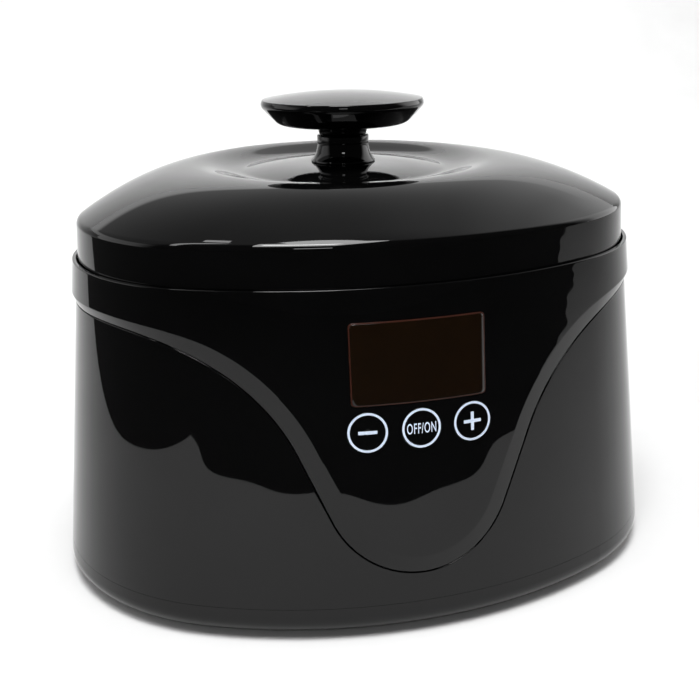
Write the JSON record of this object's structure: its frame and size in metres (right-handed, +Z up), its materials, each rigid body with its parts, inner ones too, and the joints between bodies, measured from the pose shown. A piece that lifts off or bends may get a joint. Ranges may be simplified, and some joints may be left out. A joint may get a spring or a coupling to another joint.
{
  "type": "wax warmer pot",
  "caption": "Electric wax warmer: rounded-triangle housing with a tongue-shaped front panel, lift-off domed lid with a knob, and a lift-out wax pot.",
  "frame": {"origin": "on the standing surface, under the middle of the housing's width and depth", "axes": "+Z up; -Y is the front with the display; +X is the viewer's right when facing the front"},
  "size_m": [0.227, 0.1913, 0.1716],
  "materials": {
    "gloss_black": "polished injection-moulded ABS",
    "button_black": "polished, with a printed pale ring",
    "foot_rubber": "matt",
    "screw_steel": "zinc plated",
    "blank_label": "blank film",
    "pot_aluminium": "spun and brushed",
    "bail_steel": "drawn wire",
    "well_aluminium": "pressed and anodised",
    "silicone": "matt",
    "mica_band": "mica sheet",
    "probe_steel": "plated",
    "wire_insulation": "silicone sleeve",
    "fuse_body": "ceramic",
    "shield_steel": "galvanised sheet",
    "tinted_window": "dark brown tint",
    "display_case": "matt with clear segments",
    "circuit_board": "solder mask",
    "switch_case": "matt",
    "laminated_core": "laminated",
    "relay_case": "moulded",
    "capacitor_sleeve": "shrink sleeve",
    "fuse_glass": "clear with plated caps",
    "terminal_green": "moulded",
    "inlet_black": "fine matt",
    "pin_brass": "plated",
    "ribbon_grey": "flat cable"
  },
  "bodies": {
    "housing": {"upper_housing": "gloss_black", "lower_housing": "gloss_black", "base_tray": "gloss_black", "rubber_feet": "foot_rubber", "base_screws": "screw_steel", "housing_screws": "screw_steel", "rating_label": "blank_label", "heating_well": "well_aluminium", "well_gasket": "silicone", "well_screws": "screw_steel", "heater_band": "mica_band", "band_bolt": "screw_steel", "temperature_sensor": "probe_steel", "sensor_lead": "wire_insulation", "thermal_fuse": "fuse_body", "heat_shield": "shield_steel", "stud_nuts": "screw_steel", "display_window": "tinted_window", "led_display": "display_case", "control_board": "circuit_board", "board_screws": "screw_steel", "tact_switches": "switch_case", "power_board": "circuit_board", "power_screws": "screw_steel", "transformer": "laminated_core", "relay": "relay_case", "capacitor": "capacitor_sleeve", "board_fuse": "fuse_glass", "terminal_block": "terminal_green", "inlet_socket": "inlet_black", "inlet_pins": "pin_brass", "mains_wires": "wire_insulation", "heater_wires": "wire_insulation", "ribbon_cable": "ribbon_grey"},
    "pot": {"wax_pot": "pot_aluminium"},
    "bail": {"bail_handle": "bail_steel"},
    "lid": {"lid_shell": "gloss_black", "knob_stem": "gloss_black", "knob_cap": "gloss_black", "knob_washer": "screw_steel", "knob_screw": "screw_steel"},
    "minus_key": {"button_minus": "button_black"},
    "power_key": {"button_power": "button_black"},
    "plus_key": {"button_plus": "button_black"}
  },
  "joints": [
    {"name": "pot_lift", "type": "slide", "parent": "housing", "child": "pot", "axis": [0, 0, 1], "range_m": [0, 0.09]},
    {"name": "lid_lift", "type": "slide", "parent": "pot", "child": "lid", "axis": [0, 0, 1], "range_m": [0, 0.12]},
    {"name": "bail_swing", "type": "hinge", "parent": "pot", "child": "bail", "pos_m": [0, 0.0043, 0.122], "axis": [-1, 0, 0], "range_deg": [0, 90]},
    {"name": "minus_press", "type": "slide", "parent": "housing", "child": "minus_key", "axis": [0, 0.9947, -0.1024], "range_m": [0, 0.0006], "stiffness_N_per_m": 600},
    {"name": "power_press", "type": "slide", "parent": "housing", "child": "power_key", "axis": [0, 0.9947, -0.1024], "range_m": [0, 0.0006], "stiffness_N_per_m": 600},
    {"name": "plus_press", "type": "slide", "parent": "housing", "child": "plus_key", "axis": [0, 0.9947, -0.1024], "range_m": [0, 0.0006], "stiffness_N_per_m": 600}
  ],
  "couplings": [
    {"joint": "bail_swing", "follows": "lid_lift", "rad_per_m": 13.08}
  ]
}
